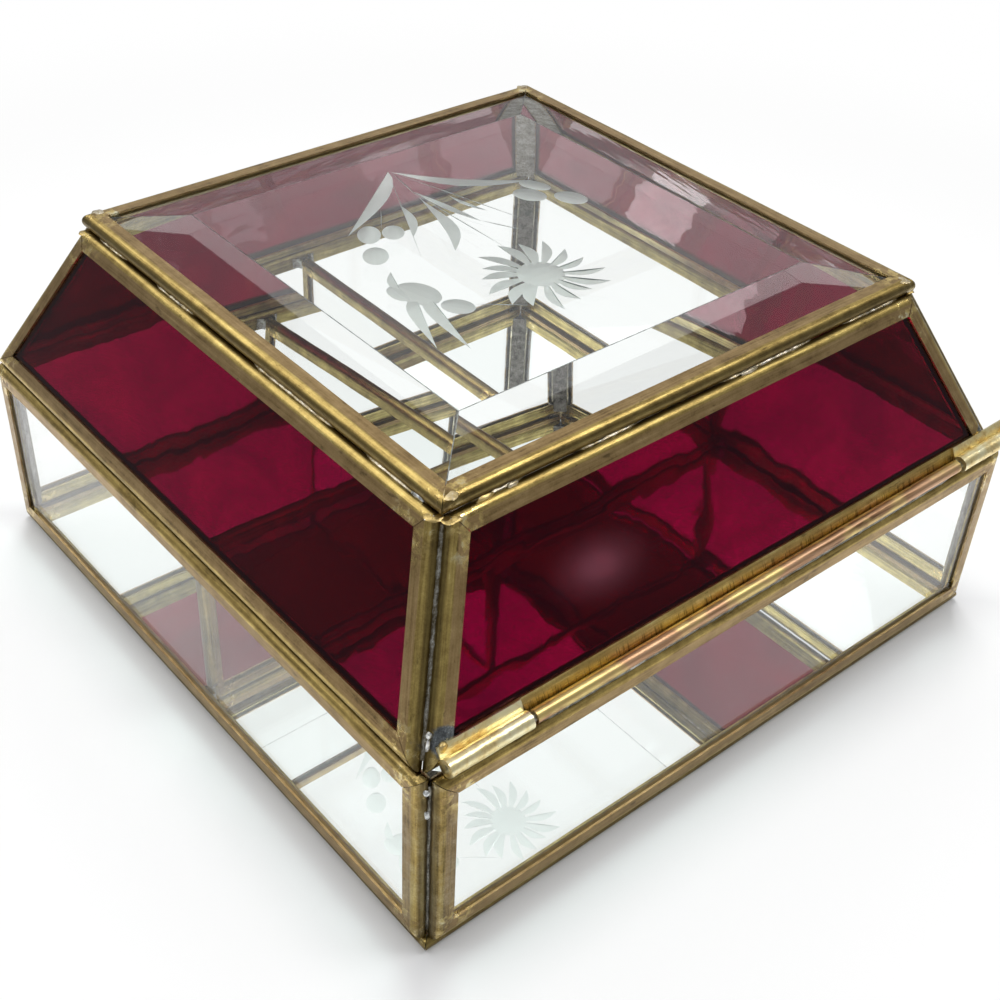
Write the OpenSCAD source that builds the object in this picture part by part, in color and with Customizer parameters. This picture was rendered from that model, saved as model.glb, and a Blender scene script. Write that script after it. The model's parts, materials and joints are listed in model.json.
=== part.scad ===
// Glass casket box: a mirrored, divided base of clear panes and a hinged lid of ruby panes
// under a bevelled clear top. Every pane sits in its own brass U-channel (came), and the
// channels are soldered edge to edge. Millimetres, +Z up, the box's front is at -Y, and the
// origin is on the underside at the middle of the base.

/* [Base] */
// Outside width and depth of the square base
base_w = 152; // [130:1:200]
// Height of the base from its underside to its rim
base_h = 42.4; // [36:0.2:60]

/* [Lid] */
// Height that the sloping sides rise between their lower and upper rims
lid_rise = 30; // [20:0.5:40]
// Lean of the sloping sides from upright, in degrees
lid_lean = 26.3; // [15:0.1:35]
// How far the lid's lower rim is set in from the base at each side
lid_side_inset = 0.7; // [0.4:0.1:3]
// How far the lid's lower rim is set in from the base at the front
lid_front_inset = 0.4; // [0.2:0.1:3]
// Sideways offset of the lid on the base, towards +X
lid_side_shift = 0.6; // [0:0.1:1]
// Gap between the lid's lower rim and the base's rim
lid_gap = 0.15; // [0.15:0.05:0.6]

/* [Glass] */
// Thickness of the wall and slope panes
glass_t = 2.4; // [2:0.1:3]
// Thickness of the bottom mirror
mirror_t = 1.5; // [1.2:0.1:3]
// Thickness of the top pane inside its bevel
top_glass_t = 4.5; // [3.5:0.1:6]
// Width of the ground bevel, from the channel to the flat
bevel_w = 12; // [6:0.5:20]
// Thickness of the divider panes
divider_glass_t = 1.8; // [1.5:0.1:2.4]

/* [Came] */
// Face height of the brass channel round the panes
came_h = 3.8; // [3.4:0.1:5]
// Thickness of the channel's two flanges
flange_t = 0.45; // [0.35:0.05:0.6]
// Depth of solid brass behind the channel's slot
came_back = 1.1; // [0.9:0.05:1.4]
// Face height of the channel round the bottom mirror
bottom_came_h = 3; // [2.6:0.1:4]
// How far the bottom's channel is set in from the walls' outside
bottom_inset = 1; // [0:0.1:1.4]
// Face height of the narrower channel round the divider panes
divider_came_h = 2.8; // [2.6:0.1:3.6]

/* [Dividers] */
// Place of the cross divider behind the middle of the box
cross_y = 3; // [-20:1:30]
// Place of the short divider beside the middle of the box
short_x = -1.5; // [-30:0.5:30]
// Drop of the dividers' tops below the base's rim
divider_drop = 1.2; // [0.5:0.1:8]

/* [Hinge] */
// Diameter of the hinge's wire pin
pin_d = 1.6; // [1.2:0.1:1.6]
// Outside diameter of the long hinge tube on the base
tube_d = 2.6; // [2.5:0.1:3]
// Outside diameter of the two short knuckles on the lid
knuckle_d = 3.4; // [3:0.1:3.6]
// Length of each knuckle
knuckle_l = 17; // [10:1:30]
// How far the hinge line stops short of the base at each side, before its offset
hinge_end_inset = 2; // [0.5:0.5:10]
// Sideways offset of the whole hinge, towards -X
hinge_side_shift = 2.5; // [0:0.5:3]
// Inset of the hinge line from the base's rear face
hinge_set = 1.2; // [1.2:0.1:1.6]
// Gap between a knuckle and the end of the tube
hinge_end_gap = 1; // [0.5:0.1:2]
// How far the pin's ends stay inside the knuckles
pin_end_inset = 0.5; // [0.2:0.1:2]

/* [Fits] */
// Play between a pane and each flange of its channel
glass_play = 0.05; // [0.05:0.01:0.1]
// Play between a pane's edge and the bottom of its slot
edge_play = 0.1; // [0.05:0.05:0.3]
// Running clearance between the pin and the tube's bore, on radius
pin_fit = 0.06; // [0.03:0.01:0.1]
// Clearance between the pin and the knuckles it is soldered into, on radius
pin_seat = 0.02; // [0.01:0.01:0.05]
// Gap between a knuckle and the base's rim
knuckle_gap = 0.2; // [0.2:0.05:0.4]
// Gap between the hinge tube and the lid's rear rim
tube_gap = 0.25; // [0.2:0.05:0.5]
// Gap that solder fills between two channels
solder_gap = 0.1; // [0.06:0.02:0.2]
// Saw cut left open at a channel's mitred corner
mitre_gap = 0.12; // [0.08:0.02:0.2]
// Clearance of a divider's ends and foot
divider_fit = 0.05; // [0.05:0.05:0.3]

/* [Hidden] */
$fn = 48;
eps = 0.02;
brass = [0.66, 0.55, 0.33];
clear_glass = [0.85, 0.93, 0.92, 0.35];
ruby_glass = [0.42, 0.02, 0.12, 0.8];
silvered = [0.75, 0.78, 0.8];
solder_grey = [0.6, 0.6, 0.6];

// Channel: thickness follows the glass that it holds, and its back is a half round
came_t = glass_t + 2 * glass_play + 2 * flange_t;
came_r = came_t / 2;
divider_came_t = divider_glass_t + 2 * glass_play + 2 * flange_t;
bottom_came_t = mirror_t + 2 * glass_play + 2 * flange_t;
bottom_r = bottom_came_t / 2;
seat = came_back + edge_play;
half_w = base_w / 2;
half_bottom = half_w - bottom_inset;
pitch = came_t + solder_gap;

// Base walls, measured at the centre of the channels' round backs
wall_mid = half_w - came_r;
wall_foot_z = bottom_came_t + solder_gap + came_r;
wall_run = base_h - came_r - wall_foot_z;

// Hinge line, along X
hinge_y = half_w - hinge_set;
hinge_z = base_h + knuckle_d / 2 + knuckle_gap;
hinge_l = base_w - 2 * hinge_end_inset;
tube_l = hinge_l - 2 * (knuckle_l + hinge_end_gap);
pin_l = hinge_l - 2 * pin_end_inset;
hinge_bead_l = tube_l - 2 * hinge_end_gap;
hinge_bead_w = 0.3 * tube_d;
knuckle_bead_l = 0.8 * knuckle_l;
knuckle_bead_drop = 0.35 * knuckle_d;
saddle_t = flange_t;
saddle_h = came_h - came_r;

// Lid's lower rim, measured at the centre of the channels' round backs
lid_foot_z = base_h + came_r + lid_gap;
edge_in = came_r * (sin(lid_lean) + cos(lid_lean));
tube_reach = came_r + tube_d / 2 + tube_gap;
lid_rear = hinge_y - sqrt(pow(tube_reach, 2) - pow(hinge_z - lid_foot_z, 2));
lid_front = half_w - lid_front_inset - edge_in;
lid_mid_x = half_w - lid_side_inset - edge_in;
lid_mid_y = (lid_rear + lid_front) / 2;
lid_off = [lid_side_shift, (lid_rear - lid_front) / 2];
slope_run = lid_rise / cos(lid_lean);
slope_in = lid_rise * tan(lid_lean);

// Top frame, resting on the slopes' upper rims at this angle
top_seat_angle = 60;
top_half_x = lid_mid_x - slope_in - pitch * cos(top_seat_angle) + came_r;
top_half_y = lid_mid_y - slope_in - pitch * cos(top_seat_angle) + came_r;
top_z = lid_foot_z + lid_rise + pitch * sin(top_seat_angle);

// Dividers stand on the mirror, between the channels of the walls and of the bottom
mirror_z = bottom_r + mirror_t / 2;
divider_foot = mirror_z + divider_fit;
divider_h = base_h - divider_drop - divider_foot;
divider_end = half_w - max(came_t, bottom_inset + bottom_came_h) - divider_fit;
cross_l = 2 * divider_end;
short_l = divider_end + cross_y - divider_came_t / 2 - divider_fit;

// Sides of the box, as quarter turns from +X
right_side = 0;
rear_side = 1;
left_side = 2;
front_side = 3;

// Angle between two neighbouring leaning panels, and how far each round back's centre
// stays from the edge where their middle planes meet, so that the backs nearly touch
function corner_angle(lean) = 180 - acos(pow(sin(lean), 2));
function corner_reach(lean) = pitch / (2 * sin(corner_angle(lean) / 2));
function side_in(lean) = (corner_reach(lean) - came_r) / cos(atan(sin(lean)));

// A panel is [half width at its foot, half width at its head, height], from the half
// width between the middle planes beside it and its run between round-back centres
function panel(half_mid, lean, run) = [
    half_mid + came_r * sin(lean) - side_in(lean),
    half_mid - (run + came_r) * sin(lean) - side_in(lean),
    run + came_t
];
function block(width, height) = [width / 2, width / 2, height];

// Corners of a panel set in by d all round, anticlockwise from the lower left
function outline(p, d) =
    let (side = d * norm([p[2], p[0] - p[1]]) / p[2],
         taper = (p[0] - p[1]) * d / p[2],
         foot = p[0] - side - taper,
         head = p[1] - side + taper)
    [[-foot, d], [foot, d], [head, p[2] - d], [-head, p[2] - d]];

function heading(a, b) = atan2(b[1] - a[1], b[0] - a[0]);
function inner_angle(a, b, c) = 180 - (heading(b, c) - heading(a, b) + 360) % 360;

wall_panel = panel(wall_mid, 0, wall_run);
side_slope_panel = panel(lid_mid_y, lid_lean, slope_run);
end_slope_panel = panel(lid_mid_x, lid_lean, slope_run);
bottom_panel = block(2 * half_bottom, 2 * half_bottom);
top_panel = block(2 * top_half_x, 2 * top_half_y);
cross_panel = block(cross_l, divider_h);
short_panel = block(short_l, divider_h);

// Channel's section: depth along X from its back, thickness along Y
module came_section(t, h) {
    difference() {
        union() {
            translate([t / 2, 0]) circle(d = t);
            translate([t / 2, -t / 2]) square([h - t / 2, t]);
        }
        translate([came_back, flange_t - t / 2]) square([h, t - 2 * flange_t]);
    }
}

// One length of channel along X, its ends mitred for corners of the angles a and b
module came_length(len, a, b, t, h) {
    deep = 1.2 * h;
    cut_a = mitre_gap / 2 / sin(a / 2);
    cut_b = mitre_gap / 2 / sin(b / 2);
    intersection() {
        rotate([90, 0, 90]) linear_extrude(len) came_section(t, h);
        translate([0, 0, -t]) linear_extrude(2 * t) polygon([
            [cut_a, 0], [len - cut_b, 0],
            [len - cut_b - deep / tan(b / 2), deep], [cut_a + deep / tan(a / 2), deep]
        ]);
    }
}

// Four mitred lengths round a panel
module came_frame(p, t = came_t, h = came_h) {
    pts = outline(p, 0);
    for (i = [0 : 3]) {
        before = pts[(i + 3) % 4];
        start = pts[i];
        end = pts[(i + 1) % 4];
        after = pts[(i + 2) % 4];
        translate(start) rotate(heading(start, end))
            came_length(norm(end - start), inner_angle(before, start, end),
                        inner_angle(start, end, after), t, h);
    }
}

module pane(p, t = glass_t) {
    linear_extrude(t, center = true) polygon(outline(p, seat));
}

// Stands a panel drawn in XY upright on one side of the box: mid is the distance of its
// middle plane from the centre, foot_z the height of its lower round back's centre
module stand(side, mid, foot_z, lean) {
    rotate(90 * side) translate([mid, 0, foot_z]) rotate([0, -lean, 0])
        rotate([90, 0, 90]) translate([0, -came_r, 0]) children();
}

module on_wall(side) {
    stand(side, wall_mid, wall_foot_z, 0) children();
}

module on_slope(side) {
    mid = side % 2 == 0 ? lid_mid_x : lid_mid_y;
    translate(lid_off) stand(side, mid, lid_foot_z, lid_lean) children();
}

module wall_pane(side) {
    color(clear_glass) on_wall(side) pane(wall_panel);
}

module wall_came(side) {
    color(brass) on_wall(side) came_frame(wall_panel);
}

module slope_pane(side) {
    color(ruby_glass) on_slope(side) pane(side % 2 == 0 ? side_slope_panel : end_slope_panel);
}

module slope_came(side) {
    color(brass) on_slope(side) came_frame(side % 2 == 0 ? side_slope_panel : end_slope_panel);
}

module on_bottom() {
    translate([0, -half_bottom, bottom_r]) children();
}

module bottom_mirror() {
    color(silvered) on_bottom() pane(bottom_panel, mirror_t);
}

module bottom_came() {
    color(brass) on_bottom() came_frame(bottom_panel, bottom_came_t, bottom_came_h);
}

// Top pane: full thickness in the middle, ground down to the plain glass at its rim.
// Its rim stays flat until it has left the channel.
module top_pane() {
    slab = outline(top_panel, seat);
    rise = top_glass_t - glass_t;
    ground = sqrt(pow(bevel_w, 2) + pow(rise, 2));
    over = ground / 4;
    color(clear_glass) translate([lid_off[0], lid_off[1] - top_half_y, top_z])
        difference() {
            translate([0, 0, -glass_t / 2]) linear_extrude(top_glass_t) polygon(slab);
            for (side = [0 : 3]) {
                half = side % 2 == 0 ? top_half_x : top_half_y;
                translate([0, top_half_y, 0]) rotate(90 * side) {
                    translate([half - came_h, -base_w, glass_t / 2])
                        cube([came_h, 2 * base_w, top_glass_t]);
                    translate([half - came_h, -base_w, glass_t / 2])
                        rotate([0, atan(rise / bevel_w), 0]) translate([-ground - over, 0, 0])
                            cube([ground + over + eps, 2 * base_w, top_glass_t]);
                }
            }
        }
}

module top_came() {
    color(brass) translate([lid_off[0], lid_off[1] - top_half_y, top_z]) came_frame(top_panel);
}

// Solid outline of a channel that runs away from a corner, for cutting solder to it
module came_outline(reach) {
    translate([reach, 0]) circle(r = came_r + eps);
    translate([reach, -came_r - eps]) square([4 * came_h, came_t + 2 * eps]);
}

// How far the solder in a corner stands out of its groove, and how far it reaches along
// the channels' inner faces
corner_out = 0.5 * came_r;
corner_fill = 0.9 * (came_h - came_r);

// Point on the inner face of a channel that runs away from a corner
function face_point(side, half_angle, along) =
    let (a = 180 - side * half_angle, across = side * came_r)
    [along * cos(a) - across * sin(a), along * sin(a) + across * cos(a)];

// Section of the solder in a corner between two leaning panels, whose outside is towards +X
module corner_solder_section(lean) {
    half_angle = corner_angle(lean) / 2;
    reach = corner_reach(lean);
    middle = -reach * cos(half_angle);
    spread = reach * sin(half_angle);
    difference() {
        polygon([[middle, -spread], [middle + corner_out, 0], [middle, spread],
                 face_point(1, half_angle, reach + corner_fill),
                 face_point(-1, half_angle, reach + corner_fill)]);
        for (s = [-1, 1]) rotate(180 - s * half_angle) came_outline(reach);
    }
}

// Four soldered corners, between panels whose middle planes are mid_x and mid_y away
// from the centre at the height z, and lean inwards
module corner_solder(mid_x, mid_y, z, lean, rise) {
    tilt = atan(sqrt(2) * tan(lean));
    over = 2 * came_h * tan(tilt);
    translate([0, 0, z]) intersection() {
        translate([-base_w, -base_w, 0]) cube([2 * base_w, 2 * base_w, rise]);
        for (sx = [0, 1], sy = [0, 1])
            mirror([sx, 0, 0]) mirror([0, sy, 0]) translate([mid_x, mid_y, 0])
                rotate([0, 0, 45]) rotate([0, -tilt, 0]) translate([0, 0, -over])
                    linear_extrude(rise / cos(tilt) + 2 * over) corner_solder_section(lean);
    }
}

module base_corner_solder() {
    color(solder_grey) corner_solder(wall_mid, wall_mid, wall_foot_z, 0, wall_run);
}

module lid_corner_solder() {
    color(solder_grey) translate(lid_off)
        corner_solder(lid_mid_x, lid_mid_y, lid_foot_z, lid_lean, lid_rise);
}

// Bead of solder along X in the groove between two round backs: r is the radius of the one
// at the origin, and to and r_to are the other's centre and radius, in YZ. Halfway between
// them the bead reaches out to the right of the line between the centres, and in to its left.
module bead(len, r, to, r_to, out, in) {
    right = [to[1], -to[0]] / norm(to);
    rotate([90, 0, 90]) linear_extrude(len, center = true) difference() {
        polygon([[0, 0], to / 2 + out * right, to, to / 2 - in * right]);
        circle(r = r + eps, $fn = bead_fn);
        translate(to) circle(r = r_to + eps, $fn = bead_fn);
    }
}

// Dabs of solder along a rim: [place along half the rim from -1 to 1, share of that half]
rim_dabs = [[-0.84, 0.3], [-0.3, 0.45], [0.42, 0.26], [0.86, 0.2]];
foot_dabs = [[-0.9, 0.1], [0.9, 0.1]];
bead_fn = 144;
bead_out = 0.6 * came_r;
bead_in = 0.45 * came_r;

module lid_rim_solder() {
    seat_step = pitch * [-cos(top_seat_angle), sin(top_seat_angle)];
    color(solder_grey) translate([lid_off[0], lid_off[1], lid_foot_z + lid_rise])
        for (side = [0 : 3]) {
            mid = (side % 2 == 0 ? lid_mid_x : lid_mid_y) - slope_in;
            span = (side % 2 == 0 ? top_half_y : top_half_x) - came_h;
            for (dab = rim_dabs) rotate(90 * side - 90) translate([dab[0] * span, mid, 0])
                bead(dab[1] * span, came_r, seat_step, came_r, bead_out, bead_in);
        }
}

module base_foot_solder() {
    foot_mid = half_bottom - bottom_r;
    wall_step = [wall_mid - foot_mid, wall_foot_z - bottom_r];
    color(solder_grey) for (side = [0 : 3], dab = foot_dabs)
        rotate(90 * side - 90) translate([dab[0] * wall_mid, foot_mid, bottom_r])
            bead(dab[1] * wall_mid, bottom_r, wall_step, came_r, bead_out, 0);
}

module cross_divider_pane() {
    color(clear_glass) on_cross() pane_divider(cross_panel);
}

module cross_divider_came() {
    color(brass) on_cross() came_frame(cross_panel, divider_came_t, divider_came_h);
}

module short_divider_pane() {
    color(clear_glass) on_short() pane_divider(short_panel);
}

module short_divider_came() {
    color(brass) on_short() came_frame(short_panel, divider_came_t, divider_came_h);
}

module pane_divider(p) {
    pane(p, divider_glass_t);
}

module on_cross() {
    translate([0, cross_y, divider_foot]) rotate([90, 0, 0]) children();
}

module on_short() {
    translate([short_x, short_l / 2 - divider_end, divider_foot]) rotate([90, 0, 90]) children();
}

// Concave fillet of solder in a right corner: leg along +X and +Y, height h
module fillet(leg, h) {
    linear_extrude(h) difference() {
        square(leg);
        translate([leg, leg]) circle(r = leg - 2 * eps);
    }
}

fillet_leg = 0.45 * came_t;
fillet_h = 1.5 * fillet_leg;

// Small solder fillets where the dividers meet the walls and each other
module divider_solder() {
    inner = half_w - came_t - eps;
    half_t = divider_came_t / 2 + eps;
    low = bottom_came_t + solder_gap;
    high = divider_foot + divider_h - fillet_h;
    color(solder_grey) for (z = [low, high]) translate([0, 0, z]) {
        for (sx = [-1, 1], sy = [-1, 1])
            translate([sx * inner, cross_y + sy * half_t, 0])
                mirror([sx > 0 ? 1 : 0, 0, 0]) mirror([0, sy < 0 ? 1 : 0, 0])
                    fillet(fillet_leg, fillet_h);
        for (sx = [-1, 1]) {
            translate([short_x + sx * half_t, -inner, 0]) mirror([sx < 0 ? 1 : 0, 0, 0])
                fillet(fillet_leg, fillet_h);
            translate([short_x + sx * half_t, cross_y - half_t, 0])
                mirror([sx < 0 ? 1 : 0, 0, 0]) mirror([0, 1, 0]) fillet(fillet_leg, fillet_h);
        }
    }
}

// Places its children on the hinge line, at the middle of the hinge, with X along it
module on_hinge() {
    translate([-hinge_side_shift, hinge_y, hinge_z]) children();
}

module rod(d, len) {
    rotate([0, 90, 0]) cylinder(d = d, h = len, center = true);
}

module hinge_tube() {
    color(brass) on_hinge() difference() {
        rod(tube_d, tube_l);
        rod(pin_d + 2 * pin_fit, tube_l + 2);
    }
}

module hinge_pin() {
    color(solder_grey) on_hinge() rod(pin_d, pin_l);
}

// Bead that joins the hinge tube to the channel on the base's rear rim
module hinge_solder() {
    rim_y = wall_mid - hinge_y;
    rim_z = base_h - came_r - hinge_z;
    color(solder_grey) on_hinge() rotate([90, 0, 90])
        linear_extrude(hinge_bead_l, center = true) difference() {
            polygon([[0, 0], [hinge_bead_w, -tube_d / 2], [rim_y + hinge_bead_w, rim_z + came_r / 2],
                     [rim_y, rim_z], [rim_y - hinge_bead_w / 2, rim_z + came_r / 2]]);
            circle(d = tube_d + 2 * eps);
            translate([rim_y, rim_z]) circle(r = came_r + eps);
        }
}

// Lid's rear rim as seen from the hinge line: the centre of its channel's round back
rim_from_hinge = [lid_rear - hinge_y, lid_foot_z - hinge_z];

// Runs a section, drawn about the hinge line with X towards the rear, along one knuckle
module along_knuckle(s, len) {
    on_hinge() translate([s * (hinge_l - knuckle_l) / 2, 0, 0])
        rotate([90, 0, 90]) linear_extrude(len, center = true) children();
}

// Solid outline of the rear rim's channel, with a hair of clearance
module rim_outline() {
    translate(rim_from_hinge) {
        circle(r = came_r + eps);
        rotate(lid_lean) translate([-came_r - eps, 0]) square([came_t + 2 * eps, came_h]);
    }
}

// A short tube soldered to the lid's rear rim, with a brass saddle that laps the rim
module knuckle(s) {
    color(brass) along_knuckle(s, knuckle_l) difference() {
        union() {
            circle(d = knuckle_d);
            translate(rim_from_hinge) rotate(lid_lean) translate([0, -came_r / 2])
                square([came_r + saddle_t, came_r / 2 + saddle_h]);
        }
        circle(r = pin_d / 2 + pin_seat);
        rim_outline();
    }
}

module left_knuckle() {
    knuckle(-1);
}

module right_knuckle() {
    knuckle(1);
}

// Solder in the notch under each knuckle, between its barrel and the rim
module knuckle_solder() {
    color(solder_grey) for (s = [-1, 1])
        along_knuckle(s, knuckle_bead_l) difference() {
            polygon([[0, 0], rim_from_hinge, rim_from_hinge / 2 - [0, knuckle_bead_drop]]);
            circle(d = knuckle_d + 2 * eps);
            rim_outline();
        }
}

bottom_mirror();
bottom_came();
wall_pane(front_side);  // front_wall_pane
wall_came(front_side);  // front_wall_came
wall_pane(rear_side);  // rear_wall_pane
wall_came(rear_side);  // rear_wall_came
wall_pane(left_side);  // left_wall_pane
wall_came(left_side);  // left_wall_came
wall_pane(right_side);  // right_wall_pane
wall_came(right_side);  // right_wall_came
base_corner_solder();
base_foot_solder();
cross_divider_pane();
cross_divider_came();
short_divider_pane();
short_divider_came();
divider_solder();
hinge_tube();
hinge_solder();
top_pane();
top_came();
slope_pane(front_side);  // front_slope_pane
slope_came(front_side);  // front_slope_came
slope_pane(rear_side);  // rear_slope_pane
slope_came(rear_side);  // rear_slope_came
slope_pane(left_side);  // left_slope_pane
slope_came(left_side);  // left_slope_came
slope_pane(right_side);  // right_slope_pane
slope_came(right_side);  // right_slope_came
lid_corner_solder();
lid_rim_solder();
left_knuckle();
right_knuckle();
knuckle_solder();
hinge_pin();
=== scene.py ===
import bpy
import bmesh
import json
import math
import random
import numpy as np
from mathutils import Matrix, Vector, noise


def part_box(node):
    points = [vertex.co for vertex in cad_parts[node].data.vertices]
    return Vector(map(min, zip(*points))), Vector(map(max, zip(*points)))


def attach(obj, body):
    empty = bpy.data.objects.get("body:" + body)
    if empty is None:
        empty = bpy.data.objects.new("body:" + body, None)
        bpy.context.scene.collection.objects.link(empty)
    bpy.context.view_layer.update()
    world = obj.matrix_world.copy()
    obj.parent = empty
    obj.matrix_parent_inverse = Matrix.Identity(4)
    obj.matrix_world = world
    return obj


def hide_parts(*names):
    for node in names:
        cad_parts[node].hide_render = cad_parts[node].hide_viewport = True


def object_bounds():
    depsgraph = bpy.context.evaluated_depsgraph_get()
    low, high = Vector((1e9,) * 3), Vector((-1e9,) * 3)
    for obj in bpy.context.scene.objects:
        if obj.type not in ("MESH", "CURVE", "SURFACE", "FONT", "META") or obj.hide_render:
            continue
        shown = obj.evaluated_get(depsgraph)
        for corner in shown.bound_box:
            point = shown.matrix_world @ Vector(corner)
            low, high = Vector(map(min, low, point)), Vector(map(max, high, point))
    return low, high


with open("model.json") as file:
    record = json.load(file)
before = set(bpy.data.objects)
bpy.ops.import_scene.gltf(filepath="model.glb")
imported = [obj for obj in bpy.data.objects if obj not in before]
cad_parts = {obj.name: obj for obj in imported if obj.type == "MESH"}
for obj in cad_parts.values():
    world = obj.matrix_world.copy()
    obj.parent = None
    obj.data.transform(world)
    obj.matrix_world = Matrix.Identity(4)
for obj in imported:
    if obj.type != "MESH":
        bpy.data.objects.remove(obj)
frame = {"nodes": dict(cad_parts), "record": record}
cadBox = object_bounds()
node = frame["nodes"]
record = frame["record"]
bodyOf = {name: body for body, names in record["behaviour"]["bodies"].items() for name in names}
slotOf = {part["node"]: part["material_slot"] for part in record["subparts"]}
mm = 0.001
print("frame loaded:", len(node), "nodes")


class Wire:  # a shader socket that can be added, multiplied and so on
    def __init__(self, socket):
        self.socket = socket
        self.tree = socket.id_data

    def maths(self, operation, other, swap=False):
        step = self.tree.nodes.new("ShaderNodeMath")
        step.operation = operation
        pair = [other, self] if swap else [self, other]
        for slot, value in zip(step.inputs, pair):
            plug(self.tree, slot, value)
        return Wire(step.outputs[0])

    def __add__(self, other):
        return self.maths("ADD", other)

    def __sub__(self, other):
        return self.maths("SUBTRACT", other)

    def __rsub__(self, other):
        return self.maths("SUBTRACT", other, swap=True)

    def __mul__(self, other):
        return self.maths("MULTIPLY", other)

    def __gt__(self, other):
        return self.maths("GREATER_THAN", other)

    __radd__ = __add__
    __rmul__ = __mul__


def plug(tree, slot, value):
    if isinstance(value, Wire):
        tree.links.new(value.socket, slot)
    elif slot.type == "RGBA" and len(value) == 3:
        slot.default_value = (*value, 1)
    else:
        slot.default_value = value


class Recipe:  # a node tree that is put together step by step
    def __init__(self, tree):
        self.tree = tree
        self.tree.nodes.clear()

    def add(self, kind, settings=None, values=None, out=0):
        made = self.tree.nodes.new("ShaderNode" + kind)
        for name, value in (settings or {}).items():
            if name == "stops":
                setStops(made.color_ramp, value)
            else:
                setattr(made, name, value)
        for name, value in (values or {}).items():
            plug(self.tree, made.inputs[name], value)
        return Wire(made.outputs[out])

    def end(self, shader, kind="OutputMaterial"):
        last = self.tree.nodes.new("ShaderNode" + kind)
        self.tree.links.new(shader.socket, last.inputs["Surface"])

    def place(self):  # where a point is, in millimetres
        where = self.add("TexCoord", out="Object")
        return self.add("VectorMath", {"operation": "SCALE"}, {0: where, "Scale": 1000.0})

    def stored(self, name):  # numbers that the mesh carries at each point
        return self.add("Attribute", {"attribute_name": name}, out="Vector")

    def parts(self, vector):
        split = self.add("SeparateXYZ", {}, {0: vector})
        return [Wire(output) for output in split.socket.node.outputs]

    def stretch(self, where, x, y, z):
        return self.add("VectorMath", {"operation": "MULTIPLY"}, {0: where, 1: (x, y, z)})

    def noise(self, where, scale, detail=3.0, rough=0.55, warp=0.0):  # scale is in waves per millimetre
        return self.add("TexNoise", {}, {
            "Vector": where, "Scale": scale, "Detail": detail, "Roughness": rough, "Distortion": warp})

    def ramp(self, value, *stops):  # stops are (place, colour)
        return self.add("ValToRGB", {"stops": stops}, {"Fac": value})

    def step(self, value, low, high):  # 0 below low, 1 above high, smooth between
        return self.add("MapRange", {"interpolation_type": "SMOOTHSTEP"},
                        {"Value": value, "From Min": low, "From Max": high})

    def mix(self, share, first, second):
        return self.add("Mix", {"data_type": "RGBA"}, {0: share, 6: first, 7: second}, out=2)

    def bump(self, height, strength, distance=0.0002):  # distance is in metres
        return self.add("Bump", {}, {"Height": height, "Strength": strength, "Distance": distance})

    def surface(self, values):
        return self.add("BsdfPrincipled", {}, values)

    def letLampsThrough(self, glass, colour):  # lamps light what is behind the glass
        hole = self.add("BsdfTransparent", {}, {"Color": colour})
        shadow = self.add("LightPath", out="Is Shadow Ray")
        return self.add("MixShader", {}, {0: shadow, 1: glass, 2: hole})

    def sight(self):  # straight from the eye, and through glass
        return self.add("LightPath", out="Is Camera Ray"), self.add("LightPath", out="Is Transmission Ray")


def setStops(band, stops):
    while len(band.elements) < len(stops):
        band.elements.new(0.5)
    for element, (place, colour) in zip(band.elements, stops):
        element.position = place
        element.color = (*colour, 1)


def newFinish(name):
    made = bpy.data.materials.new(name)
    made.use_nodes = True
    return made, Recipe(made.node_tree)


# In each finish a name in Scale or Waves holds waves per millimetre, and a name in At says where in
# the noise a mark begins and where it is whole
clear = {"colour": (0.985, 1.0, 0.993), "lamps": (0.86, 0.92, 0.9), "sheen": (0.62, 0.64, 0.66), "index": 1.5,
         "smear": 0.02, "smearScale": 0.09, "smearAt": (0.5, 0.75), "wave": 0.04, "waveScale": 0.05}


def clearGlass():
    made, f = newFinish("clearGlass")
    where = f.place()
    smear = f.step(f.noise(where, clear["smearScale"], 4, 0.6), *clear["smearAt"])
    f.end(f.letLampsThrough(f.surface({
        "Base Color": clear["colour"], "Roughness": clear["smear"] * smear,
        "Specular Tint": clear["sheen"], "Transmission Weight": 1.0, "IOR": clear["index"],
        "Normal": f.bump(f.noise(where, clear["waveScale"], 2, 0.5), clear["wave"])}), clear["lamps"]))
    return made


ridge = {"dark": (0.05, 0.06, 0.06), "pale": (0.5, 0.56, 0.55), "clearness": 0.9, "roughness": 0.3,
         "scale": 0.9, "bump": 0.1}


def chippedRidge():  # the worn line where the bevel meets the flat
    made, f = newFinish("chippedRidge")
    chips = f.noise(f.place(), ridge["scale"], 3, 0.6)
    f.end(f.letLampsThrough(f.surface({
        "Base Color": f.ramp(chips, (0.4, ridge["dark"]), (0.7, ridge["pale"])),
        "Roughness": ridge["roughness"], "Transmission Weight": ridge["clearness"],
        "IOR": clear["index"], "Normal": f.bump(chips, ridge["bump"])}), clear["lamps"]))
    return made


frosted = {"colour": (0.89, 1.0, 0.955), "clearness": 0.85, "roughness": 0.45, "uneven": 0.1,
           "grain": 6.0, "bump": 0.2}


def frostedCut():
    made, f = newFinish("frostedCut")
    grain = f.noise(f.place(), frosted["grain"], 2, 0.6)
    f.end(f.letLampsThrough(f.surface({
        "Base Color": frosted["colour"], "Roughness": frosted["roughness"] + frosted["uneven"] * grain,
        "Transmission Weight": frosted["clearness"], "IOR": clear["index"],
        "Normal": f.bump(grain, frosted["bump"])}), clear["lamps"]))
    return made


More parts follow.
